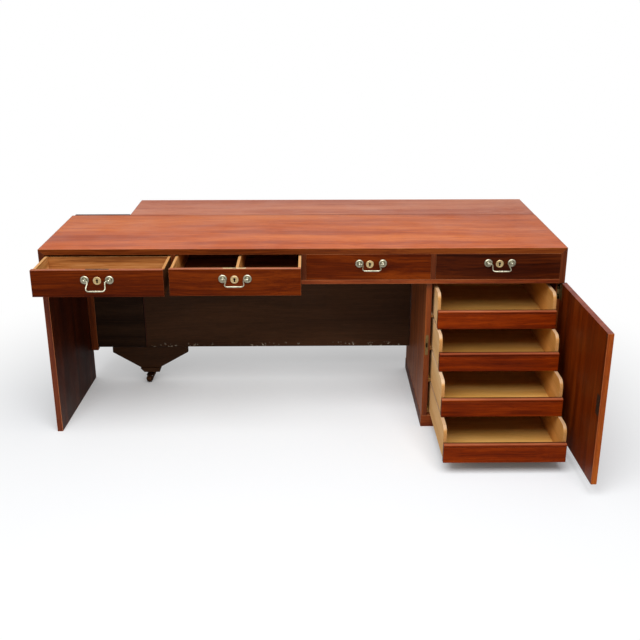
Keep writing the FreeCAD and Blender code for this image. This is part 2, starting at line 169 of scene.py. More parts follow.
def grain_patterns(tree, place, along, figure, band_mm, streak_mm):
    """Three patterns of the grain: its tone from dark to light, its fibres and its open pores."""
    def layer(length_mm, width_mm, detail):
        """One pattern, from the size of its patches along and across the grain."""
        scale = [per_metre(width_mm)] * 3
        scale[AXES[along]] = per_metre(length_mm)
        stretched = add(tree, "VectorMath", {"operation": "MULTIPLY", 1: scale}, {0: place})
        return add(tree, "TexNoise", {"Scale": 1.0, "Detail": detail},
                   {"Vector": stretched.outputs["Vector"]}).outputs["Fac"]

    bands = layer(900, band_mm, 2.0)          # growth bands
    streaks = layer(260, streak_mm, 3.0)      # streaks within them
    fibres = layer(60, 1.6, 2.0)              # fibres, drawn about 1.6 mm wide so that they show
    holes = layer(34, 1.1, 1.0)               # pores, 0.2 mm wide in the real wood, drawn at 1 mm
    fibre_share = 0.35
    contrast = 0.24
    mixed = add(tree, "Math", {"operation": "MULTIPLY_ADD", 1: figure}, {0: streaks, 2: bands})
    mixed = add(tree, "Math", {"operation": "MULTIPLY_ADD", 1: fibre_share}, {0: fibres, 2: mixed.outputs[0]})
    middle = 0.5 * (1 + figure + fibre_share)
    tone = where(tree, (mixed.outputs[0], middle - contrast, middle + contrast))
    return tone, fibres, holes


def in_tones(tree, tone, chosen, base=None, share=None):
    """The grain in the chosen tones, laid over a base colour where share is 1."""
    places = [index / (len(chosen) - 1) for index in range(len(chosen))]
    grain = add(tree, "ValToRGB", {"stops": list(zip(places, chosen))}, {"Fac": tone}).outputs["Color"]
    if base is None:
        return grain
    return add(tree, "Mix", {"data_type": "RGBA"}, {0: share, 6: base, 7: grain}).outputs[2]


def with_sawn_ends(tree, place, across_grain, base, pore, end):
    """Sawn ends show their cut pores as a speckle, drawn 2.4 mm wide so that it shows."""
    sawn = where(tree, (across_grain, 0.7, 0.95), most=0.8)
    speckle = add(tree, "TexNoise", {"Scale": 420.0, "Detail": 2.0}, {"Vector": place})
    speckled = add(tree, "ValToRGB", {"stops": [(0.35, pore), (0.65, end)]},
                   {"Fac": speckle.outputs["Fac"]}).outputs["Color"]
    return add(tree, "Mix", {"data_type": "RGBA"}, {0: sawn, 6: base, 7: speckled}).outputs[2]


def foot_chips(tree, place, part_way):
    """From 0 to 1: small chips, knocked out along a board's lower edge."""
    chips = add(tree, "TexNoise", {"Scale": 70.0, "Detail": 3.0}, {"Vector": place})
    return where(tree, (chips.outputs["Fac"], 0.62, 0.68), (part_way["Z"], 0.05, 0.015))


def hand_worn(tree, place, roughness):
    """Roughness of a polish that hands leave duller, in patches a little wider than a hand."""
    smudge = add(tree, "TexNoise", {"Scale": 7.0, "Detail": 4.0, "Roughness": 0.6},
                 {"Vector": place})
    return add(tree, "MapRange", {"From Min": 0.3, "From Max": 0.7, "To Min": roughness - 0.06,
                                  "To Max": roughness + 0.08}, {"Value": smudge.outputs["Fac"]}).outputs[0]


def wood(name, along, tones, pore, figure, roughness, gloss, pores, end=None, front=None, top=None,
         outside=None, under=None, across=None, scuffs=None, band_mm=46, streak_mm=7):
    """Planed timber, its grain along one axis of the desk, in tones from dark to light. Other
    tones can be given for faces towards the sitter, for the upward faces along the piece's upper
    edge, for its two outer side faces, for its underside, and for a box's floor and back board,
    whose grain runs from side to side. Scuffs are the tones of small chips along the lower edge.
    Pore colours the open pores, and end the wood between them on sawn ends."""
    finish, tree, output = new_finish(name)
    surface = add(tree, "TexCoord").outputs
    place = surface["Object"]
    normal = add(tree, "SeparateXYZ", links={"Vector": surface["Normal"]}).outputs
    part_way = add(tree, "SeparateXYZ", links={"Vector": surface["Generated"]}).outputs
    across_grain = add(tree, "Math", {"operation": "ABSOLUTE"}, {0: normal[AXES[along]]}).outputs[0]
    faces_front = (normal["Y"], -TURNS, -TURNED)
    faces_down = (normal["Z"], -TURNS, -TURNED)
    faces_up = (normal["Z"], TURNS, TURNED)

    drift = wandering_place(tree, place)
    if across is not None:
        back_board = where(tree, (across_grain, TURNS, TURNED), (part_way["Y"], 0.14, 0.2))
        box_floor = where(tree, faces_up, (part_way["Z"], 0.5, 0.4))
        crossed = add(tree, "Math", {"operation": "MAXIMUM"}, {0: back_board, 1: box_floor}).outputs[0]
        drift = crossed_place(tree, drift, crossed)
    tone, fibres, holes = grain_patterns(tree, drift, along, figure, band_mm, streak_mm)

    colour = in_tones(tree, tone, tones)
    if front is not None:
        colour = in_tones(tree, tone, front, colour, where(tree, faces_front))
    if under is not None:
        colour = in_tones(tree, tone, under, colour, where(tree, faces_down))
    if outside is not None:
        colour = in_tones(tree, tone, outside, colour, outer_sides(tree, normal, part_way))
    pitted = where(tree, (holes, 0.60, 0.72), most=pores)
    colour = add(tree, "Mix", {"data_type": "RGBA", 7: linear(pore)}, {0: pitted, 6: colour}).outputs[2]
    colour = with_sawn_ends(tree, place, across_grain, colour, pore, end or tones[0])
    if across is not None:
        colour = in_tones(tree, tone, across, colour, crossed)
    if top is not None:
        upper_edge = where(tree, faces_up, (part_way["Z"], 0.8, 0.86))
        colour = in_tones(tree, tone, top, colour, upper_edge)
    if scuffs is not None:
        colour = in_tones(tree, tone, scuffs, colour, foot_chips(tree, place, part_way))

    # the pores are sunk twice as deep as the fibres stand up
    height = add(tree, "Math", {"operation": "MULTIPLY_ADD", 1: -2.0}, {0: pitted, 2: fibres})
    relief = add(tree, "Bump", {"Strength": 0.35, "Distance": 0.25 * MM}, {"Height": height.outputs[0]})
    shader = add(tree, "BsdfPrincipled", {"Specular IOR Level": gloss, "IOR": 1.5},
                 {"Base Color": colour, "Roughness": hand_worn(tree, place, roughness),
                  "Normal": relief.outputs["Normal"]})
    tree.links.new(shader.outputs[0], output.inputs["Surface"])
    return finish


# ---- metal, and the shadow in a keyhole ----

def worked_metal(name, clean, tarnish, hollow, roughness, grime):
    """Cast or rolled metal, handled for years: bright where fingers rub, dull in the hollows."""
    finish, tree, output = new_finish(name)
    place = add(tree, "TexCoord").outputs["Object"]
    # stains as wide as a fingertip, and a casting's grit, 0.2 mm in real metal and drawn at 1 mm
    cloud = add(tree, "TexNoise", {"Scale": 90.0, "Detail": 5.0, "Roughness": 0.65},
                {"Vector": place})
    grit = add(tree, "TexNoise", {"Scale": 900.0, "Detail": 3.0}, {"Vector": place})
    stained = where(tree, (cloud.outputs["Fac"], 0.42, 0.68))
    colour = add(tree, "Mix", {"data_type": "RGBA", 6: linear(clean), 7: linear(tarnish)},
                 {0: stained}).outputs[2]
    nook = add(tree, "AmbientOcclusion", {"Distance": 6 * MM, "samples": 8})
    sunk = where(tree, (nook.outputs["AO"], 0.85, 0.35), most=grime)
    colour = add(tree, "Mix", {"data_type": "RGBA", 7: linear(hollow)}, {0: sunk, 6: colour}).outputs[2]
    dull = add(tree, "MapRange", {"From Min": 0.35, "From Max": 0.7, "To Min": roughness - 0.07,
                                  "To Max": roughness + 0.15}, {"Value": cloud.outputs["Fac"]})
    relief = add(tree, "Bump", {"Strength": 0.3, "Distance": 0.2 * MM}, {"Height": grit.outputs["Fac"]})
    shader = add(tree, "BsdfPrincipled", {"Metallic": 1.0},
                 {"Base Color": colour, "Roughness": dull.outputs["Result"],
                  "Normal": relief.outputs["Normal"]})
    tree.links.new(shader.outputs[0], output.inputs["Surface"])
    return finish


def keyhole_black():
    """Unlit wood inside a keyhole: brown black, with no shine and coarsely drawn dust."""
    finish, tree, output = new_finish("keyhole_shadow")
    place = add(tree, "TexCoord").outputs["Object"]
    dust = add(tree, "TexNoise", {"Scale": 600.0}, {"Vector": place})
    colour = add(tree, "ValToRGB", {"stops": [(0.3, "#060302"), (0.8, "#1A100A")]},
                 {"Fac": dust.outputs["Fac"]})
    shader = add(tree, "BsdfPrincipled", {"Roughness": 0.9, "Specular IOR Level": 0.05},
                 {"Base Color": colour.outputs["Color"]})
    tree.links.new(shader.outputs[0], output.inputs["Surface"])
    return finish


# ---- finishes of the desk ----

# Undersides, left without polish: dull brown.
BARE = ["#6E5438", "#866A4A", "#9C805C"]
# Upward edges: pale orange brown, a painted highlight where light falls on them from above.
PAINTED_TOP_LIGHT = ["#8C4226", "#A65C3A", "#BC7450"]
# Top edges of the drawer boxes, worn clean: pale straw.
PALE_EDGE = ["#B87A44", "#CE945A", "#E0AC74"]


def polished_top(name, along, tones):
    # Mahogany faded by daylight under a rubbed shellac polish: orange red, with a fine level
    # grain and a low, soft sheen. Its edge kept more of the dark red.
    return wood(name, along, tones, "#8A3A1C", figure=0.9, roughness=0.38, gloss=0.07, pores=0.4,
                front=["#4E1E08", "#6C300E", "#864416"], under=BARE, band_mm=90, streak_mm=4)


def dark_mahogany(name, along, tones, gloss=0.12, **other_tones):
    # Mahogany that kept its colour out of the sun, with the same polish: deep red brown.
    return wood(name, along, tones, "#1C0803", figure=0.6, roughness=0.4, gloss=gloss, pores=0.5,
                **other_tones)


top_finish = polished_top("polished_mahogany_top", "x", ["#A0441C", "#C25C26", "#D67436"])
# The rear leaf has faded a shade paler and pinker than the top.
leaf_finish = polished_top("polished_mahogany_leaf", "x", ["#B05A3A", "#C87452", "#D68662"])
# Drawer fronts under many coats of polish: dark red, and the last one nearly brown black.
front_finish = dark_mahogany("polished_mahogany_fronts", "x", ["#3A0C00", "#581C00", "#783004"],
                             gloss=0.06, top=PAINTED_TOP_LIGHT)
last_front_finish = dark_mahogany("darker_mahogany_front", "x", ["#240600", "#3C1202", "#542004"],
                                  gloss=0.06, top=PAINTED_TOP_LIGHT)
# Tray fronts, mostly kept behind the door: clearer red.
tray_finish = dark_mahogany("mahogany_tray_fronts", "x", ["#521400", "#782600", "#983A04"],
                            gloss=0.06, top=PAINTED_TOP_LIGHT)
# Rails and lippings, cut from plain straight wood: red brown, a shade lighter upright.
edge_level = dark_mahogany("mahogany_lipping_level", "x", ["#561E0A", "#722E12", "#8C421C"],
                           under=BARE)
edge_upright = dark_mahogany("mahogany_lipping_upright", "z", ["#662A0C", "#843C16", "#A05220"])
# Left end: nearly black red, darkened as a painted shade under the top, and lighter on its front edge, which
# stands in the light.
left_end_finish = dark_mahogany("mahogany_left_end", "z", ["#280A02", "#3E1403", "#542108"],
                                gloss=0.2, front=["#4A1A0A", "#642810", "#7C3A1A"])
# Ends and dividers of the drawer case: a middle brown between the two.
case_end_finish = dark_mahogany("mahogany_case_ends", "z", ["#441806", "#5C280E", "#763816"])
# Pedestal sides: orange brown and glossier, with redder front edges; they are a lighter copy of the mahogany,
# and the extra lightness is a painted sheen.
pedestal_finish = dark_mahogany("mahogany_pedestal_sides", "z", ["#6C3216", "#8C4A24", "#A26034"],
                                gloss=0.3, front=["#602608", "#7E3A0C", "#984E18"])
# Door: warm red brown with a paler upper edge, a painted highlight where light falls on it from above, and an
# orange lipping.
door_inside = dark_mahogany("mahogany_door", "z", ["#4A1600", "#682400", "#823608"],
                            top=["#6A2A18", "#823C28", "#9A5038"])
door_edge = dark_mahogany("mahogany_lipping_door", "z", ["#8A3A0C", "#A65014", "#BE661E"], top=PAINTED_TOP_LIGHT)
# Wood inside the desk, seldom seen: dark brown.
dark_upright = dark_mahogany("mahogany_inside_upright", "z", ["#32160A", "#44200F", "#562C16"])
dark_level = dark_mahogany("mahogany_inside_level", "x", ["#260C04", "#381408", "#4A1E0E"])
# Arrises rubbed through their colour: a thin paler line along the edges.
rubbed_top = dark_mahogany("rubbed_arris_top", "x", ["#7A3818", "#925028", "#AA6838"], gloss=0.08)
rubbed_level = dark_mahogany("rubbed_arris_level", "x", ["#8A4422", "#A05A32", "#B67046"])
rubbed_upright = dark_mahogany("rubbed_arris_upright", "z", ["#A0552C", "#B86A3C", "#CC8052"])
# Softwood boards stained almost black: dull, with a faint broad figure and pale chips where
# feet knock the lower edge.
stained_board = wood("stained_back_boards", "x", ["#382214", "#462C1A", "#543621"], "#1C100A",
                     figure=0.5, roughness=0.6, gloss=0.1, pores=0.4, band_mm=110,
                     scuffs=["#8A7C68", "#B0A490", "#D0C6B4"])
# The short board beside them took the stain darker.
stained_short = wood("stained_short_board", "x", ["#24160D", "#322015", "#402B1C"], "#0C0704",
                     figure=0.6, roughness=0.65, gloss=0.08, pores=0.4)
# Oak drawer boxes, planed and left without polish: warm brown with open pores, and dark brown
# on the outside of their sides.
oak_deep = wood("plain_oak_front_to_back", "y", ["#A46C34", "#CC924E", "#ECB878"], "#7A4A22",
                figure=0.8, roughness=0.65, gloss=0.1, pores=0.4, top=PALE_EDGE,
                outside=["#3A1E0C", "#543014", "#6C4222"], across=["#7E4820", "#AA6C36", "#C88E56"])
# Oak trays, cleaner and plainer than the boxes: pale straw, even all over.
oak_tray = wood("plain_oak_trays", "y", ["#C88C44", "#DA9E54", "#EAB068"], "#A07038",
                figure=0.35, roughness=0.65, gloss=0.08, pores=0.2, end="#CC9460", band_mm=90,
                under=BARE, top=["#C8A078", "#D6B088", "#E4C29C"],
                outside=["#E0AC6C", "#ECBC80", "#F4CA92"], across=["#D09848", "#E6AE5C", "#F8C678"])
# Rolled brass gone soft yellow, brown in the corners.
brass = worked_metal("old_brass", "#E4C896", "#C4A468", "#5A3C1A", 0.38, 0.8)
# Thin keyhole plates of the same brass, cleaned more often: pale beige.
plate_brass = worked_metal("keyhole_plate_brass", "#D6BE90", "#B49A6A", "#5A4424", 0.42, 0.6)
# Strike plate and hinges, never cleaned: brass gone olive brown.
dull_brass = worked_metal("tarnished_brass", "#8E7A52", "#6E5C3A", "#2C2010", 0.45, 0.8)
# Cast white brass, rubbed silvery on its high parts and greenish in its hollows.
pull_metal = worked_metal("worn_white_brass", "#B4B09C", "#8A8A74", "#30342A", 0.34, 0.9)
# Wrought iron, oiled and rusted brown.
iron = worked_metal("oiled_iron", "#4A4038", "#352A22", "#120C08", 0.5, 0.8)
# The castor's iron, lacquered brown and dulled by floors.
castor_iron = worked_metal("browned_castor_iron", "#5A3A24", "#402818", "#180C06", 0.5, 0.7)
keyhole = keyhole_black()


# ---- boards that come straight from the frame ----

def ease_edges(node, width_mm, finish, rubbed=None):
    """Give a board its finish and take its sharp edges off, as a plane and years of use do."""
    board = nodes[node]
    for slot in board.material_slots:
        slot.material = finish
    weld = board.modifiers.new("joined_faces", "WELD")
    weld.merge_threshold = 0.01 * MM
    bevel = board.modifiers.new("eased_edges", "BEVEL")
    bevel.width = width_mm * MM
    bevel.segments = 2
    bevel.limit_method = "ANGLE"
    bevel.angle_limit = math.radians(40)
    if rubbed is not None:
        board.data.materials.append(rubbed)
        bevel.material = len(board.material_slots) - 1


def finish_boards():
    """Every board: the width of its eased edges, its finish and that of its rubbed arrises."""
    ease_edges("top_board", 1.2, top_finish, rubbed_top)
    ease_edges("leaf_board", 1.5, leaf_finish, dark_level)
    ease_edges("case_ends", 1.0, case_end_finish)
    ease_edges("case_bottom_board", 0.8, edge_level, rubbed_level)
    ease_edges("case_dividers", 0.6, case_end_finish)
    ease_edges("case_back_board", 0.6, dark_level)
    ease_edges("left_leg_panel", 1.2, left_end_finish, rubbed_upright)
    ease_edges("left_rear_stile", 1.0, edge_upright, rubbed_upright)
    ease_edges("short_back_board", 0.8, stained_short)
    ease_edges("pedestal_sides", 1.0, pedestal_finish, rubbed_upright)
    ease_edges("pedestal_plinth", 1.5, edge_level, rubbed_level)
    ease_edges("pedestal_bottom_panel", 0.5, dark_level)
    ease_edges("pedestal_back_board", 0.6, stained_board)
    ease_edges("pedestal_ledge", 0.6, dark_level)
    ease_edges("tray_runners", 0.6, oak_tray)
    ease_edges("door_panel", 0.6, door_inside)
    ease_edges("door_lipping", 1.2, door_edge, rubbed_upright)
    ease_edges("long_back_board", 0.8, stained_board)
    ease_edges("castor_bracket", 1.0, stained_board)
    ease_edges("pivot_bracket", 0.4, iron)
    for node in ("rear_rail", "leaf_posts", "leaf_apron", "pivot_block"):
        ease_edges(node, 1.0, dark_level)
    for number in NUMBERS:
        front = last_front_finish if number == 4 else front_finish
        ease_edges(f"drawer_{number}_front", 1.0, front, rubbed_level)
        ease_edges(f"drawer_{number}_box", 1.0, oak_deep)
        ease_edges(f"tray_{number}_box", 1.4, oak_tray)


# ---- shapes made one by one ----

def new_piece(name, build, finish):
    """Object of one finish from a mesh that was built."""
    mesh = bpy.data.meshes.new(name)
    build.to_mesh(mesh)
    build.free()
    mesh.materials.append(finish)
    piece = bpy.data.objects.new(name, mesh)
    bpy.context.scene.collection.objects.link(piece)
    return piece


def loft(name, rings, finish, closed_ends=True, smooth=True):
    """Skin a run of closed outlines that all have the same number of points."""
    build = bmesh.new()
    rows = [[build.verts.new(point) for point in ring] for ring in rings]
    count = len(rings[0])
    for near, far in zip(rows, rows[1:]):
        for i in range(count):
            j = (i + 1) % count
            build.faces.new((near[i], near[j], far[j], far[i]))
    if closed_ends:
        build.faces.new(list(reversed(rows[0])))
        build.faces.new(rows[-1])
    bmesh.ops.remove_doubles(build, verts=build.verts, dist=1e-7)
    bmesh.ops.recalc_face_normals(build, faces=build.faces)
    for face in build.faces:
        face.smooth = smooth
    return new_piece(name, build, finish)


def circle(centre, radius, across, up, count):
    """Points of a circle drawn with two directions."""
    points = []
    for i in range(count):
        angle = 2 * math.pi * i / count
        points.append(centre + across * (radius * math.cos(angle)) + up * (radius * math.sin(angle)))
    return points


def turned(name, profile, centre, axis, finish, count=40):
    """Lathe work: the profile lists (radius, distance along the axis) in millimetres."""
    axis = Vector(axis).normalized()
    across = axis.orthogonal().normalized()
    up = axis.cross(across)
    least = 0.02      # a hair's breadth, so that the ends keep round faces
    rings = [circle(centre + axis * (along * MM), max(radius, least) * MM, across, up, count)
             for radius, along in profile]
    return loft(name, rings, finish)


def drawn_rod(name, path, radii, finish, count=16):
    """Rod of changing thickness along a path of points, radii in millimetres."""
    rings = []
    side = None
    for i, point in enumerate(path):
        before = path[max(i - 1, 0)]
        after = path[min(i + 1, len(path) - 1)]
        along = (after - before).normalized()
        if side is None:
            side = along.orthogonal()
        else:
            side = side - along * side.dot(along)
        side = side.normalized()
        rings.append(circle(point, radii[i] * MM, side, along.cross(side), count))
    return loft(name, rings, finish)


def slab(name, low, high, ease_mm, finish):
    """Small block with rounded edges, between two corners in metres."""
    build = bmesh.new()
    bmesh.ops.create_cube(build, size=1)
    size = Vector(high) - Vector(low)
    middle = (Vector(high) + Vector(low)) / 2
    for vert in build.verts:
        vert.co = Vector([vert.co[i] * size[i] + middle[i] for i in range(3)])
    bmesh.ops.bevel(build, geom=build.edges[:], offset=ease_mm * MM, segments=3, profile=0.5,
                    affect="EDGES")
    return new_piece(name, build, finish)


def screw(name, centre, axis, radius_mm, finish, turn):
    """Countersunk screw head with its slot; a grid of points is pressed down along the slot."""
    crown = 0.12 * radius_mm
    slot_depth = 0.22 * radius_mm
    skirt_depth = 0.5 * radius_mm
    steps = [-1, -0.8, -0.5, -0.18, -0.12, 0.12, 0.18, 0.5, 0.8, 1]
    axis = Vector(axis).normalized()
    across = axis.orthogonal().normalized()
    up = axis.cross(across)
    along_slot = across * math.cos(turn) + up * math.sin(turn)
    over_slot = up * math.cos(turn) - across * math.sin(turn)
    build = bmesh.new()
    grid = []
    for u in steps:
        row = []
        for v in steps:
            x = u * math.sqrt(1 - v * v / 2)
            y = v * math.sqrt(1 - u * u / 2)
            rise = crown * (1 - (x * x + y * y))
            if abs(v) < 0.15 and abs(u) < 0.95:
                rise -= slot_depth
            row.append(build.verts.new(centre + along_slot * (x * radius_mm * MM)
                                       + over_slot * (y * radius_mm * MM) + axis * (rise * MM)))
        grid.append(row)
    for row, next_row in zip(grid, grid[1:]):
        for i in range(len(steps) - 1):
            build.faces.new((row[i], row[i + 1], next_row[i + 1], next_row[i]))
    rim = [edge for edge in build.edges if edge.is_boundary]
    skirt = bmesh.ops.extrude_edge_only(build, edges=rim)
    for vert in [made for made in skirt["geom"] if isinstance(made, bmesh.types.BMVert)]:
        vert.co -= axis * (skirt_depth * MM)
    bmesh.ops.holes_fill(build, edges=[edge for edge in build.edges if edge.is_boundary])
    bmesh.ops.recalc_face_normals(build, faces=build.faces)
    return new_piece(name, build, finish)


def join(name, *parts):
    """One piece from several that are made of the same metal or wood."""
    with bpy.context.temp_override(active_object=parts[0], selected_editable_objects=list(parts)):
        bpy.ops.object.join()
    parts[0].name = name
    return parts[0]


def fit(piece, body, slot, *replaced):
    """Put a finished piece on its body and let it stand for its frame nodes."""
    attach(piece, body)
    if replaced:
        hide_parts(*replaced)


# ---- drawer fittings ----

POST_OFF_MIDDLE = 44.5      # half the distance between a handle's two posts
PIN_STANDS_OFF = 13         # from the drawer's front to the line that the handle swings on
HANDLE_DROP = 42            # from that line down to the grip's middle


def rounded_run(corners, radii, steps=7):
    """Points along straight runs whose inner corners are rounded."""
    points = [corners[0]]
    for before, corner, after, radius in zip(corners, corners[1:], corners[2:], radii):
        back = (before - corner).normalized()
        ahead = (after - corner).normalized()
        half = back.angle(ahead) / 2
        reach = radius / math.tan(half)
        centre = corner + (back + ahead).normalized() * (radius / math.sin(half))
        first = corner + back * reach - centre
        last = corner + ahead * reach - centre
        swing = first.angle(last)
        for i in range(steps + 1):
            near = math.sin(swing * (1 - i / steps)) / math.sin(swing)
            far = math.sin(swing * i / steps) / math.sin(swing)
            points.append(centre + first * near + last * far)
    points.append(corners[-1])
    return points


def divided(path, longest_mm):
    """The same path with more points, so that no step is much longer than asked."""
    fine = []
    for start, end in zip(path, path[1:]):
        pieces = max(1, int((end - start).length / (longest_mm * MM)))
        fine += [start.lerp(end, i / pieces) for i in range(pieces)]
    return fine + [path[-1]]


def make_roses(number, middle):
    """Two dished roses with turned posts, each ending in a ball that the handle hangs from."""
    dish = [(0, 0.1), (15.6, 0.1), (15.9, 0.8), (15.8, 1.6), (15.2, 2.7), (14.1, 3.7), (12.9, 4.3),
            (11.7, 4.5), (10.6, 4.35), (9.2, 3.8), (7.6, 3.2), (6.0, 2.9)]
    neck = [(4.9, 3.2), (4.1, 4.2), (3.4, 6.0), (3.3, 7.2), (3.9, 8.2)]
    ball = [(4.8, 9.3), (5.3, 10.8), (5.5, PIN_STANDS_OFF), (5.2, 14.9), (4.3, 16.6), (2.9, 17.8),
            (1.3, 18.4), (0, 18.5)]
    parts = [turned(f"rose_{number}_{side}", dish + neck + ball,
                    middle + ACROSS * (side * POST_OFF_MIDDLE * MM), FORWARD, pull_metal)
             for side in (-1, 1)]
    roses = join(f"drawer_{number}_roses", *parts)
    fit(roses, f"drawer_{number}", "pull_metal", f"drawer_{number}_pull_posts")


def handle_radius(point):
    """Half the handle's thickness in millimetres: thin pins, curved necks, and a swelling grip
    with a bead at its middle and a finer one on each side."""
    off_middle = abs(point.x) / MM
    rise = point.z / MM
    grip_half = 30
    on_pin = rise > -3 and off_middle > 32
    on_grip = rise < -40.5
    if on_pin:
        return 2.2
    if on_grip:
        swell = 0.75 * math.cos(min(off_middle, grip_half) / grip_half * math.pi / 2)
        bead = 0.75 * math.exp(-(off_middle / 1.9) ** 2)
        fine_bead = 0.35 * math.exp(-((off_middle - 12.5) / 0.9) ** 2)
        return 2.5 + swell + bead + fine_bead
    return 2.3 + 0.25 * math.sin(min(1, -rise / HANDLE_DROP) * math.pi)


def make_handle(number, middle, lift):
    """Swan-necked drop handle, lifted by some degrees from hanging."""
    half = [(50, 0), (30, 0), (36, -HANDLE_DROP)]      # end of a pin, shoulder, corner of the grip
    other_half = [(-x, z) for x, z in reversed(half)]
    corners = [Vector((x, 0, z)) * MM for x, z in half + other_half]
    path = divided(rounded_run(corners, [8.8 * MM, 11 * MM, 11 * MM, 8.8 * MM]), 1.2)
    radii = [handle_radius(point) for point in path]
    rod = drawn_rod(f"drawer_{number}_handle", path, radii, pull_metal)
    cap = [(0, 5.0), (3.0, 5.2), (3.1, 5.8), (2.2, 6.6), (0, 6.9)]
    caps = [turned(f"pin_end_{number}_{side}", cap, Vector((side * POST_OFF_MIDDLE * MM, 0, 0)),
                   ACROSS * side, pull_metal, 16) for side in (-1, 1)]
    handle = join(f"drawer_{number}_handle", rod, *caps)
    handle.data.transform(Matrix.Rotation(math.radians(-lift), 4, "X"))
    handle.data.transform(Matrix.Translation(middle + FORWARD * (PIN_STANDS_OFF * MM)))
    fit(handle, f"bail_{number}", "pull_metal", f"drawer_{number}_bail")


def keyhole_outline(centre, grow_mm, count=48):
    """Keyhole of a round top over a straight foot, as points at even angles round its middle."""
    round_radius = 4.2 + grow_mm
    round_lift = 2.0      # the round's middle lies this far above the keyhole's
    foot_half_width = 2.6 + grow_mm
    foot_drop = 9.4 + grow_mm
    tiny = 1e-6
    points = []
    for i in range(count):
        angle = 2 * math.pi * i / count
        right = math.cos(angle)
        rise = math.sin(angle)
        reach = 0
        chord_squared = (rise * round_lift) ** 2 - (round_lift ** 2 - round_radius ** 2)
        if chord_squared >= 0:
            reach = rise * round_lift + math.sqrt(chord_squared)
        if rise < 0.3:
            to_side = foot_half_width / max(abs(right), tiny)
            to_foot = foot_drop / max(-rise, tiny)
            reach = max(reach, min(to_side, to_foot))
        points.append(centre + ACROSS * (right * reach * MM) + UP * (rise * reach * MM))
    return points


def make_keyhole_plate(number, centre):
    """Round keyhole plate with a rolled rim, pinned to the front, and a brown black sheet behind it, painted
    shade for the keyhole's depth.
    """
    rim = [(15.0, 0.05), (15.0, 0.9), (14.7, 1.6), (14.0, 2.1), (13.2, 2.2), (12.4, 2.0), (11.8, 1.9)]
    hole = [(0.9, 1.9), (0.35, 1.8), (0, 1.4), (0, 0.3)]
    behind = [(0.4, 0.02), (0.4, 0.25), (0.2, 0.45)]
    rings = [circle(centre + FORWARD * (rise * MM), radius * MM, ACROSS, UP, 48) for radius, rise in rim]
    rings += [keyhole_outline(centre + FORWARD * (rise * MM), grow) for grow, rise in hole]
    plate = loft(f"plate_{number}", rings, plate_brass, closed_ends=False)
    dark = [keyhole_outline(centre + FORWARD * (rise * MM), grow) for grow, rise in behind]
    fit(loft(f"drawer_{number}_keyhole_shadow", dark, keyhole), f"drawer_{number}", "iron_dark")
    pin_head = [(0, 1.7), (1.1, 1.8), (1.0, 2.1), (0.6, 2.35), (0, 2.4)]
    pins = [turned(f"pin_{number}_{side}", pin_head, centre + ACROSS * (side * 9.8 * MM), FORWARD,
                   plate_brass, 12) for side in (-1, 1)]
    plate = join(f"drawer_{number}_keyhole_plate", plate, *pins)
    fit(plate, f"drawer_{number}", "brass", f"drawer_{number}_lock")


def make_drawer_lock(number, low, high):
    """Cut lock in the back of the front: top strip, screwed back plate and bolt. The first
    drawer's lock has gone brown, the others are bright."""
    metal = castor_iron if number == 1 else brass
    middle = (low.x + high.x) / 2
    strip_thick = 2.4 * MM
    back_thick = 2.2 * MM
    body = slab(f"lock_body_{number}", low + Vector((2, 1.5, 2)) * MM, high - Vector((2, 1.6, 1)) * MM,
                0.4, metal)
    strip = slab(f"lock_strip_{number}", Vector((low.x, low.y, high.z - strip_thick)), high, 0.5, metal)
    back = slab(f"lock_back_{number}", Vector((low.x, high.y - back_thick, low.z)), high, 0.5, metal)
    bolt_low = Vector((middle - 7 * MM, low.y + 3 * MM, high.z - 3 * MM))
    bolt_high = Vector((middle + 7 * MM, high.y - 4.5 * MM, high.z + 0.25 * MM))
    bolt = slab(f"drawer_{number}_lock_bolt", bolt_low, bolt_high, 0.3, iron)
    screws = []
    for side in (-1, 1):
        x = middle + side * 34 * MM
        on_strip = Vector((x, low.y + 6 * MM, high.z))
        screws.append(screw(f"strip_screw_{number}_{side}", on_strip, UP, 2.4, metal, side))
        for z in (low.z + 7 * MM, high.z - 9 * MM):
            on_back = Vector((x, high.y, z))
            screws.append(screw(f"back_screw_{number}_{side}", on_back, -FORWARD, 2.4, metal, z * 90))
    lock = join(f"drawer_{number}_lock_case", body, strip, back, *screws)
    fit(lock, f"drawer_{number}", "brass")
    fit(bolt, f"drawer_{number}", "iron_dark")


def fit_drawers():
    """Each drawer: how many degrees its handle is lifted, and how many millimetres its handle
    and its key sit right of the front's middle."""
    settings = ((45, 0, 0), (71, 0, -2), (71, 9, 4), (64, 6, 5))
    pull_below_edge = 36 * MM
    key_below_pull = 3 * MM
    lock_half_width = 42 * MM
    lock_height = 42 * MM
    lock_depth = 12 * MM
    for number, (lift, pull_off, key_off) in enumerate(settings, 1):
        low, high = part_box(f"drawer_{number}_front")
        middle = Vector(((low.x + high.x) / 2, low.y, high.z - pull_below_edge))
        pull = middle + ACROSS * (pull_off * MM)
        key = middle + ACROSS * (key_off * MM)
        make_roses(number, pull)
        make_handle(number, pull, lift)
        make_keyhole_plate(number, key - UP * key_below_pull)
        lock_low = Vector((key.x - lock_half_width, high.y - lock_depth, high.z - lock_height))
        lock_high = Vector((key.x + lock_half_width, high.y, high.z))
        make_drawer_lock(number, lock_low, lock_high)


# ---- tray fronts ----

def tray_front_outline(low, high):
    """Section of a tray's front: a full round bead over a fine groove, its face set back."""
    face = low.y + 2.5 * MM
    groove = face + 1.2 * MM
    bead = 5.5 * MM
    bead_foot = high.z - 2 * bead
    bead_middle = face + 3.0 * MM
    outline = [(high.y, low.z), (face, low.z), (face, bead_foot - 1.6 * MM), (groove, bead_foot - 1.2 * MM),
               (groove, bead_foot - 0.2 * MM)]
    for i in range(9):
        angle = math.radians(-90 + 180 * i / 8)
        outline.append((bead_middle - bead * math.cos(angle), bead_foot + bead + bead * math.sin(angle)))
    return outline + [(high.y - 7 * MM, high.z), (high.y, high.z)]


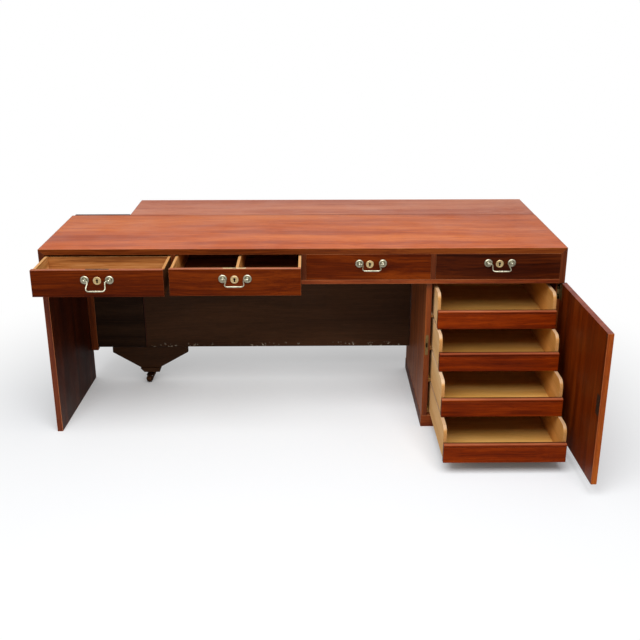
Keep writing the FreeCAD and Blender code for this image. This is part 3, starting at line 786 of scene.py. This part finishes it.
def make_tray_front(number):
    """Low front whose top edge is a full rounded bead with a fine groove under it."""
    low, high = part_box(f"tray_{number}_front")
    outline = tray_front_outline(low, high)
    gap = 1.5 * MM           # from the end of the front to the end of its room
    ease = 0.6 * MM          # its two ends are eased by this much
    middle = (low + high) / 2
    ends = ((low.x + gap, ease), (low.x + gap + ease, 0), (high.x - gap - ease, 0), (high.x - gap, ease))
    rings = []
    for x, inset in ends:
        ring = []
        for y, z in outline:
            eased_y = y + inset if y < middle.y else y - inset
            eased_z = z + inset if z < middle.z else z - inset
            ring.append(Vector((x, eased_y, eased_z)))
        rings.append(ring)
    front = loft(f"tray_{number}_beaded_front", rings, tray_finish, smooth=False)
    front.data.materials.append(dark_level)       # behind the bead the edge is left dark
    for face in front.data.polygons:
        if face.normal.z > 0.9 and face.center.y > high.y - 5 * MM:
            face.material_index = 1
    fit(front, f"tray_{number}", "mahogany_front", f"tray_{number}_front")


# ---- door, strike plate and hinges ----

# the upright line that the door turns on, across and back in workshop millimetres
HINGE_LINE = (1994, 23)
DOOR_PAST_SQUARE = 1.03635      # degrees
DOOR_FACE = 1993                # the door's inner face, while it stands square
PEDESTAL_FRONT = 26
LEAF_THICK = 0.9


def make_strike_plate():
    """Screwed plate on the pedestal's front edge, with the slot that the door's bolt shoots into, drawn as a
    brown black slab of painted shade.
    """
    low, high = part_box("strike_plate")
    middle = (low.x + high.x) / 2

    def at_height(x, y, height_mm):
        return Vector((x, y, height_mm * MM))

    plate = slab("strike", low, high, 0.3, dull_brass)
    # the slot: a brown black slab on the plate's face, painted shade for its depth
    hole = slab("strike_plate_slot_shade", at_height(middle - 3 * MM, low.y - 0.05 * MM, 348),
                at_height(middle + 3 * MM, low.y + 0.5 * MM, 368), 0.05, keyhole)
    screws = [screw(f"strike_screw_{z}", at_height(middle, low.y, z), FORWARD, 2.6, dull_brass, z)
              for z in (326, 391)]
    fit(join("strike_plate_screwed", plate, *screws), "carcass", "brass", "strike_plate")
    fit(hole, "carcass", "brass")


def door_turned(piece):
    """Turn a piece of the door from square to where it stands, a degree past it."""
    axis = desk_point(*HINGE_LINE, 0)
    turn = Matrix.Rotation(math.radians(DOOR_PAST_SQUARE), 4, "Z")
    piece.data.transform(Matrix.Translation(axis) @ turn @ Matrix.Translation(-axis))
    return piece


def make_hinge(foot, fixed, moving):
    """One butt hinge from its foot's height up: three knuckles on a pin, and two screwed leaves."""
    axis = desk_point(*HINGE_LINE, foot)
    leaf_height = 60
    knuckle_pitch = 20
    knuckle_height = 19.5
    clearance = 0.1
    leaf_face = PEDESTAL_FRONT - LEAF_THICK
    door_leaf_face = DOOR_FACE - LEAF_THICK

    def flat_part(name, low, high):
        return slab(f"{name}_{foot}", desk_point(*low), desk_point(*high), 0.2, dull_brass)

    for level in range(3):
        low = level * knuckle_pitch + clearance
        high = low + knuckle_height
        knuckle = [(1.6, low), (3.1, low), (3.5, low + 0.5), (3.5, high - 0.5), (3.1, high), (1.6, high)]
        part = turned(f"knuckle_{foot}_{level}", knuckle, axis, UP, dull_brass, 24)
        (moving if level == 1 else fixed).append(part)
    pin = [(0, -0.8), (1.2, -0.6), (1.5, 0.2), (1.5, 59.6), (1.2, 60.4), (0, 60.6)]
    fixed.append(turned(f"hinge_pin_{foot}", pin, axis, UP, dull_brass, 20))
    for level in (0, 2):
        low = foot + level * knuckle_pitch + clearance
        fixed.append(flat_part(f"hinge_strap_{level}", (1980, leaf_face, low),
                               (1992.5, PEDESTAL_FRONT, low + knuckle_height)))
    fixed.append(flat_part("hinge_leaf", (1980, leaf_face, foot),
                           (1990.5, PEDESTAL_FRONT, foot + leaf_height - 0.3)))
    low = foot + knuckle_pitch + clearance
    moving.append(flat_part("hinge_arm", (door_leaf_face, 17, low), (DOOR_FACE, 20.5, low + knuckle_height)))
    moving.append(flat_part("hinge_door_leaf", (door_leaf_face, 0, foot),
                            (DOOR_FACE, 18, foot + leaf_height)))
    for rise in (12, 30, 48):
        on_frame = desk_point(1985.5, leaf_face, foot + rise)
        on_door = desk_point(door_leaf_face, 9, foot + rise)
        fixed.append(screw(f"frame_screw_{foot}_{rise}", on_frame, FORWARD, 2.6, dull_brass, rise))
        moving.append(screw(f"door_screw_{foot}_{rise}", on_door, -ACROSS, 2.6, dull_brass, rise))


def make_hinges():
    """The door's lower and upper hinge; one half stays on the pedestal, one goes with the door."""
    fixed = []
    moving = []
    for foot in (70, 550):
        make_hinge(foot, fixed, moving)
    fit(join("door_hinges_on_pedestal", *fixed), "carcass", "brass", "door_hinge_fixed")
    fit(door_turned(join("door_hinges_on_door", *moving)), "door", "brass", "door_hinge_moving")


def make_door_lock():
    """Screwed iron lock plate with a round boss, and the stop pin above it."""
    plate = slab("lock_plate", desk_point(DOOR_FACE, -524, 312), desk_point(2002, -492, 388), 0.4, iron)
    screws = [screw(f"lock_screw_{y}_{z}", desk_point(DOOR_FACE, y, z), -ACROSS, 2.5, iron, y + z)
              for y in (-519, -497) for z in (318, 382)]
    ring = [(2.4, -0.02), (5.5, -0.02), (5.5, 0.6), (4.6, 1.2), (2.6, 1.2), (2.4, 0.4)]
    boss = turned("lock_boss", ring, desk_point(DOOR_FACE, -508, 350), -ACROSS, iron, 24)
    button = [(0, -0.5), (3, -0.4), (3, 0.8), (2.4, 1.4), (0, 1.5)]
    pin = turned("stop_pin", button, desk_point(DOOR_FACE, -519, 606), -ACROSS, iron, 20)
    fit(door_turned(join("door_lock_plate", plate, boss, pin, *screws)), "door", "iron_dark", "door_lock")


# ---- castor and seam ----

CASTOR_MIDDLE = (302, 530)      # its swivel's upright line, across and back
CASTOR_TURN = -12               # degrees that the wheel trails to the left of straight forward
WHEEL_TRAIL = 42
WHEEL_RADIUS = 15
PLATE_UNDERSIDE = 39


def make_castor_plate(centre):
    """Square plate under the bracket, with a screw in each corner."""
    plate = slab("plate", centre + Vector((-24, -24, PLATE_UNDERSIDE)) * MM,
                 centre + Vector((24, 24, PLATE_UNDERSIDE + 3)) * MM, 0.8, castor_iron)
    screws = [screw(f"castor_screw_{x}_{y}", centre + Vector((x, y, PLATE_UNDERSIDE)) * MM, -UP, 3.0,
                    castor_iron, x + y) for x in (-19, 19) for y in (-19, 19)]
    fit(join("castor_plate_screwed", plate, *screws), "rear_leaf", "iron_dark", "castor_plate")


def castor_horn(centre, across, trail):
    """Broad arm from the collar out over the wheel, as eight-sided sections with eased corners."""
    # how far along the trail, its underside's and upper side's height, and half its width
    stations = ((-10.5, 34.2, 38.3, 13), (-2, 33.9, 38.5, 15.5), (10, 33.6, 38.5, 16.4),
                (18, 33.2, 38.0, 16), (27, 32.6, 36.4, 15.6), (36, 32.0, 34.9, 15.1),
                (43, 31.4, 33.6, 14.6))
    rings = []
    for along, low, high, half in stations:
        middle = centre + trail * (along * MM)
        corners = [(-half, low + 1), (-half + 1, low), (half - 1, low), (half, low + 1),
                   (half, high - 1), (half - 1.4, high), (-half + 1.4, high), (-half, high - 1)]
        rings.append([middle + across * (wide * MM) + UP * (rise * MM) for wide, rise in corners])
    return loft("horn", rings, castor_iron, smooth=False)


def castor_cheek(centre, across, trail, side):
    """Flat cheek that leans from the horn down to the axle, narrowing on its way."""
    steps = 12
    thick = 4
    rings = []
    for step in range(steps + 1):
        part_way = step / steps
        middle = centre + trail * ((6 + 36 * part_way) * MM) + UP * ((34.2 - 19.2 * part_way ** 1.2) * MM)
        half = (9.5 - 4.7 * part_way) * MM
        spread = 12.2 - 1.4 * min(1, part_way * 1.5)     # the cheeks draw in from the horn to the wheel
        inner = middle + across * (side * spread * MM)
        outer = middle + across * (side * (spread + thick) * MM)
        fore = (trail * 0.55 + UP * 0.84) * half
        rings.append([inner - fore, inner + fore, outer + fore * 0.8, outer - fore * 0.8])
    return loft(f"cheek_{side}", rings, castor_iron, smooth=False)


def make_castor():
    """Plate castor: screwed plate, a collar with a broad horn, two cheeks, and a wheel."""
    centre = desk_point(*CASTOR_MIDDLE, 0)
    make_castor_plate(centre)
    turn = Matrix.Rotation(math.radians(CASTOR_TURN), 3, "Z")
    across = turn @ ACROSS
    trail = turn @ FORWARD
    hub = centre + trail * (WHEEL_TRAIL * MM) + UP * (WHEEL_RADIUS * MM)
    collar = [(0, 56), (5.0, 56), (5.0, 38.7), (16.4, 38.6), (17.0, 38.1), (17.0, 35.2), (16.0, 34.2),
              (9, 33.9), (0, 33.9)]
    axle = [(0, -15.5), (3.8, -15.4), (4.2, -14.9), (2.9, -14.8), (2.9, 14.8), (4.2, 14.9), (3.8, 15.4),
            (0, 15.5)]
    parts = [turned("collar", collar, centre, UP, castor_iron, 32), castor_horn(centre, across, trail)]
    parts += [castor_cheek(centre, across, trail, side) for side in (-1, 1)]
    parts.append(turned("axle", axle, hub, across, castor_iron, 20))
    fit(join("castor_fork_forged", *parts), "castor_swivel", "iron_dark", "castor_fork")
    # half the wheel's section, from its bore out to the rounded tread
    half_wheel = [(3.05, -10), (6.5, -10), (7.2, -9.2), (10.6, -9.0), (11.6, -9.8), (13.4, -9.3),
                  (14.6, -7.4), (WHEEL_RADIUS, -4.5)]
    other_half = [(radius, -along) for radius, along in reversed(half_wheel)]
    section = half_wheel + other_half + half_wheel[:1]
    wheel = turned("castor_wheel_turned", section, hub, across, castor_iron)
    fit(wheel, "castor_roller", "iron_dark", "castor_wheel")


def make_seam_strip():
    """Reddish lipping on the left end of the long back board, beside the seam."""
    strip = slab("seam_strip", desk_point(283.2, 514.6, 161), desk_point(288.4, 515.3, 616), 0.2,
                 dark_upright)
    fit(strip, "rear_leaf", "mahogany_edge")


# ---- stage ----

def lay_floor():
    """Pale floor that shows near white to the eye and still keeps the desk's soft shadow, deepened by a
    painted shade where the floor is hemmed in.
    """
    build = bmesh.new()
    bmesh.ops.create_grid(build, x_segments=2, y_segments=2, size=30)
    finish, tree, output = new_finish("pale_studio_floor")
    # painted plaster: matt, and a little greyer to the desk than to the eye
    pale = add(tree, "BsdfDiffuse", {"Color": linear("#E0DEDC")})
    near_white = add(tree, "BsdfDiffuse", {"Color": linear("#F8FBFF")})
    white = add(tree, "Emission", {"Color": linear("#FFFFFF"), "Strength": 1.0})
    place = add(tree, "TexCoord").outputs["Object"]
    away = add(tree, "VectorMath", {"operation": "LENGTH"}, {0: place})
    # from 1 m to 2.1 m away from the desk's middle the shaded floor gives way to plain white
    fade = add(tree, "MapRange",
               {"From Min": 1.0, "From Max": 2.1, "To Min": 0.56, "interpolation_type": "SMOOTHSTEP"},
               {"Value": away.outputs["Value"]})
    # the glow also gives way where the floor is hemmed in: a painted shade under and beside the desk, over
    # the shadow on the lit floor
    painted_shade_occlusion = add(tree, "AmbientOcclusion", {"Distance": 0.55, "samples": 12})
    open_floor = add(tree, "Math", {"operation": "MULTIPLY"},
                     {0: fade.outputs["Result"], 1: painted_shade_occlusion.outputs["AO"]}).outputs[0]
    lit = add(tree, "MixShader", links={0: open_floor, 1: near_white.outputs[0], 2: white.outputs[0]})
    to_eye = add(tree, "LightPath").outputs["Is Camera Ray"]
    shown = add(tree, "MixShader", links={0: to_eye, 1: pale.outputs[0], 2: lit.outputs[0]})
    tree.links.new(shown.outputs[0], output.inputs["Surface"])
    new_piece("studio_floor", build, finish)


def soft_lamp(name, place, aim, width, height, watts):
    """Rectangular lamp with a soft edge to its light, turned towards a point."""
    data = bpy.data.lights.new(name, "AREA")
    data.shape = "RECTANGLE"
    data.size = width
    data.size_y = height
    data.energy = watts
    lamp = bpy.data.objects.new(name, data)
    lamp.location = place
    lamp.rotation_euler = (Vector(aim) - Vector(place)).to_track_quat("-Z", "Y").to_euler()
    bpy.context.scene.collection.objects.link(lamp)


def light_studio():
    """One broad lamp above the sitter, and a dim room that eye and metal see as white."""
    soft_lamp("overhead_softbox", (-0.1, -2.05, 3.02), (0, -0.15, 0.45), 3.5, 2.3, 134)
    world = bpy.data.worlds.new("studio")
    world.use_nodes = True
    tree = world.node_tree
    tree.nodes.clear()
    seen = add(tree, "LightPath")
    passed = add(tree, "Math", {"operation": "MAXIMUM"},
                 {0: seen.outputs["Is Camera Ray"], 1: seen.outputs["Is Transmission Ray"]})
    mirrored = add(tree, "Math", {"operation": "MAXIMUM"},
                   {0: passed.outputs[0], 1: seen.outputs["Is Glossy Ray"]})
    room = add(tree, "Background", {"Color": linear("#FFFFFF"), "Strength": 0.2})
    white = add(tree, "Background", {"Color": linear("#FFFFFF"), "Strength": 1.0})
    shown = add(tree, "MixShader", links={0: mirrored.outputs[0], 1: room.outputs[0], 2: white.outputs[0]})
    add(tree, "OutputWorld", links={"Surface": shown.outputs[0]})
    bpy.context.scene.world = world
    bpy.context.scene.view_settings.view_transform = "Standard"


stand_camera()
finish_boards()
fit_drawers()
for tray_number in NUMBERS:
    make_tray_front(tray_number)
make_strike_plate()
make_hinges()
make_door_lock()
make_castor()
make_seam_strip()
lay_floor()
light_studio()
